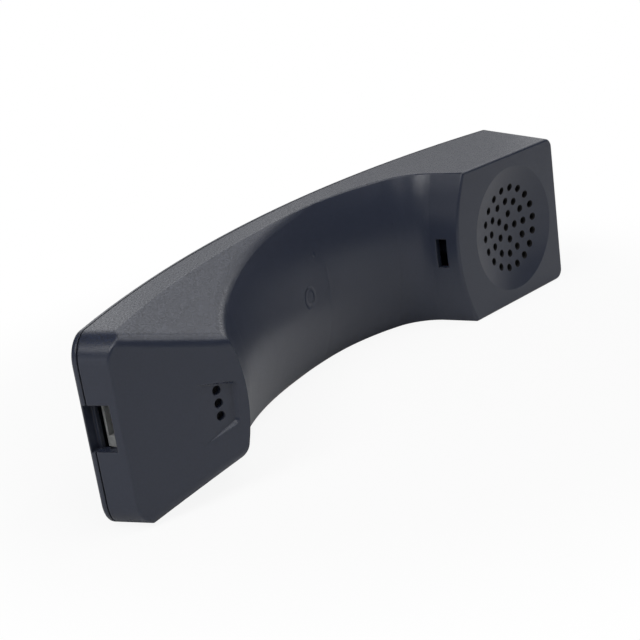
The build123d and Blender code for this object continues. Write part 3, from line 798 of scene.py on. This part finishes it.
def sees_white(tree, sheet_mask):
    """Mask that is 1 for the camera, and for bounced rays where the sheet stands."""
    path = node(tree, "LightPath").outputs
    bounced = calc(tree, "MAXIMUM", path["Is Glossy Ray"], path["Is Transmission Ray"])
    on_sheet = calc(tree, "MULTIPLY", bounced, sheet_mask)
    return calc(tree, "MAXIMUM", path["Is Camera Ray"], on_sheet)


def white_where(tree, mask, plain, glowing, kind):
    """Mixes the plain shader and the white one, and ends the tree with them."""
    mix = node(tree, "MixShader", Fac=mask)
    tree.links.new(plain.outputs[0], mix.inputs[1])
    tree.links.new(glowing.outputs[0], mix.inputs[2])
    out = node(tree, "Output" + kind)
    tree.links.new(mix.outputs[0], out.inputs["Surface"])


white, matt_white = (1, 1, 1, 1), (0.8, 0.8, 0.8, 1)
print("toward the sheet:", [round(v, 2) for v in sheet_side(0)])

# %% [markdown]
# ## Table
# To lamps the table is an ordinary matt white, so the light that bounces off it is real. Near the
# handset the camera sees a tenth of that true table, which keeps a faint soft shadow. The table
# lies a hair below the handset, so that the two flat faces don't flicker.

# %% Table
table_reach, table_gap = 3.0, 0.02 * mm
shadow_near, shadow_far = 0.09, 0.17
white_near_handset = 0.9
sheet_starts, sheet_full = 0.25, 1.0


def make_table():
    mesh = bpy.data.meshes.new("table")
    corners = []
    for x, y in ((-1, -1), (1, -1), (1, 1), (-1, 1)):
        corners.append((x * table_reach, y * table_reach, -table_gap))
    mesh.from_pydata(corners, [], [(0, 1, 2, 3)])
    table = bpy.data.objects.new("table", mesh)
    scene.collection.objects.link(table)
    material = bpy.data.materials.new("table_white")
    material.use_nodes = True
    tree = material.node_tree
    tree.nodes.clear()
    place = node(tree, "TexCoord").outputs["Object"]
    toward_sheet = vector_calc(tree, "DOT_PRODUCT", place, sheet_side(0))
    seen = sees_white(tree, ramp(tree, toward_sheet, sheet_starts, sheet_full))
    away = vector_calc(tree, "LENGTH", place)
    whiteness = ramp(tree, away, shadow_near, shadow_far, white_near_handset, 1.0)
    matt = node(tree, "BsdfDiffuse", Color=matt_white)
    glow = node(tree, "Emission", Color=white)
    white_where(tree, calc(tree, "MULTIPLY", seen, whiteness), matt, glow, "Material")
    mesh.materials.append(material)
    return table


table = make_table()
print("made:", table.name, "metres across:", 2 * table_reach)

# %% [markdown]
# ## Backdrop
# The world stands in for the sheet and the room. The sheet is a soft-edged round patch behind
# the handset, and the rest of the room gives a little dim light. A real sheet could be modelled,
# but it would stand in the way of the lamps and of a camera that looks from behind.

# %% Backdrop
sheet_height_angle = 35
sheet_solid, sheet_edge = radians(5), radians(25)
room_strength = 0.03


def make_backdrop():
    world = bpy.data.worlds.new("backdrop")
    scene.world = world
    world.use_nodes = True
    tree = world.node_tree
    tree.nodes.clear()
    direction = node(tree, "TexCoord").outputs["Generated"]
    facing = vector_calc(tree, "DOT_PRODUCT", direction, sheet_side(sheet_height_angle))
    seen = sees_white(tree, ramp(tree, facing, cos(sheet_edge), cos(sheet_solid)))
    dim = node(tree, "Background", Color=white, Strength=room_strength)
    bright = node(tree, "Background", Color=white, Strength=1.0)
    white_where(tree, seen, dim, bright, "World")
    return world


backdrop = make_backdrop()
print("backdrop:", backdrop.name)

# %% [markdown]
# ## Light
# Dark plastic is shown by what it mirrors. The strongest box hangs high beyond the mouthpiece
# end, where it models the handle, and weak low boxes behind the handset make its upper faces
# pale. One or two lamps would be simpler, but they leave hard streaks on a curved handle. The
# powers were balanced by rendering each box by itself.


# %% Soft boxes
def soft_box(name, azimuth, height_angle, power, size=0.7, distance=1.5):
    """Square lamp aimed at the handset. Azimuth 0 is in front, and 90 is past the ear block."""
    data = bpy.data.lights.new(name, "AREA")
    data.shape = "SQUARE"
    data.size = size
    data.energy = power
    turn, rise = radians(azimuth), radians(height_angle)
    place = Vector((sin(turn) * cos(rise), -cos(turn) * cos(rise), sin(rise))) * distance
    lamp = bpy.data.objects.new(name, data)
    lamp.location = place
    lamp.rotation_euler = (-place).to_track_quat("-Z", "Y").to_euler()
    scene.collection.objects.link(lamp)
    return lamp


lamps = [
    soft_box("mouth_side_box", 265, 50, 9.5),
    soft_box("front_left_box", 330, 50, 2.3),
    soft_box("front_right_box", 30, 50, 3.4),
    soft_box("overhead_box", 0, 75, 3.0),
    soft_box("ear_side_box", 75, 50, 2.8),
    soft_box("ear_end_box", 90, 25, 1.0),
    soft_box("low_ear_box", 100, 5, 1.0),
    soft_box("back_box", 115, 25, 0.45),
    soft_box("far_back_box", 140, 25, 0.5),
    soft_box("low_back_box", 150, 5, 1.4),
    soft_box("low_end_box", 250, 5, 1.5),
]
scene.view_settings.view_transform = "Standard"
print("lamps:", len(lamps), "watts:", round(sum(lamp.data.energy for lamp in lamps), 1))
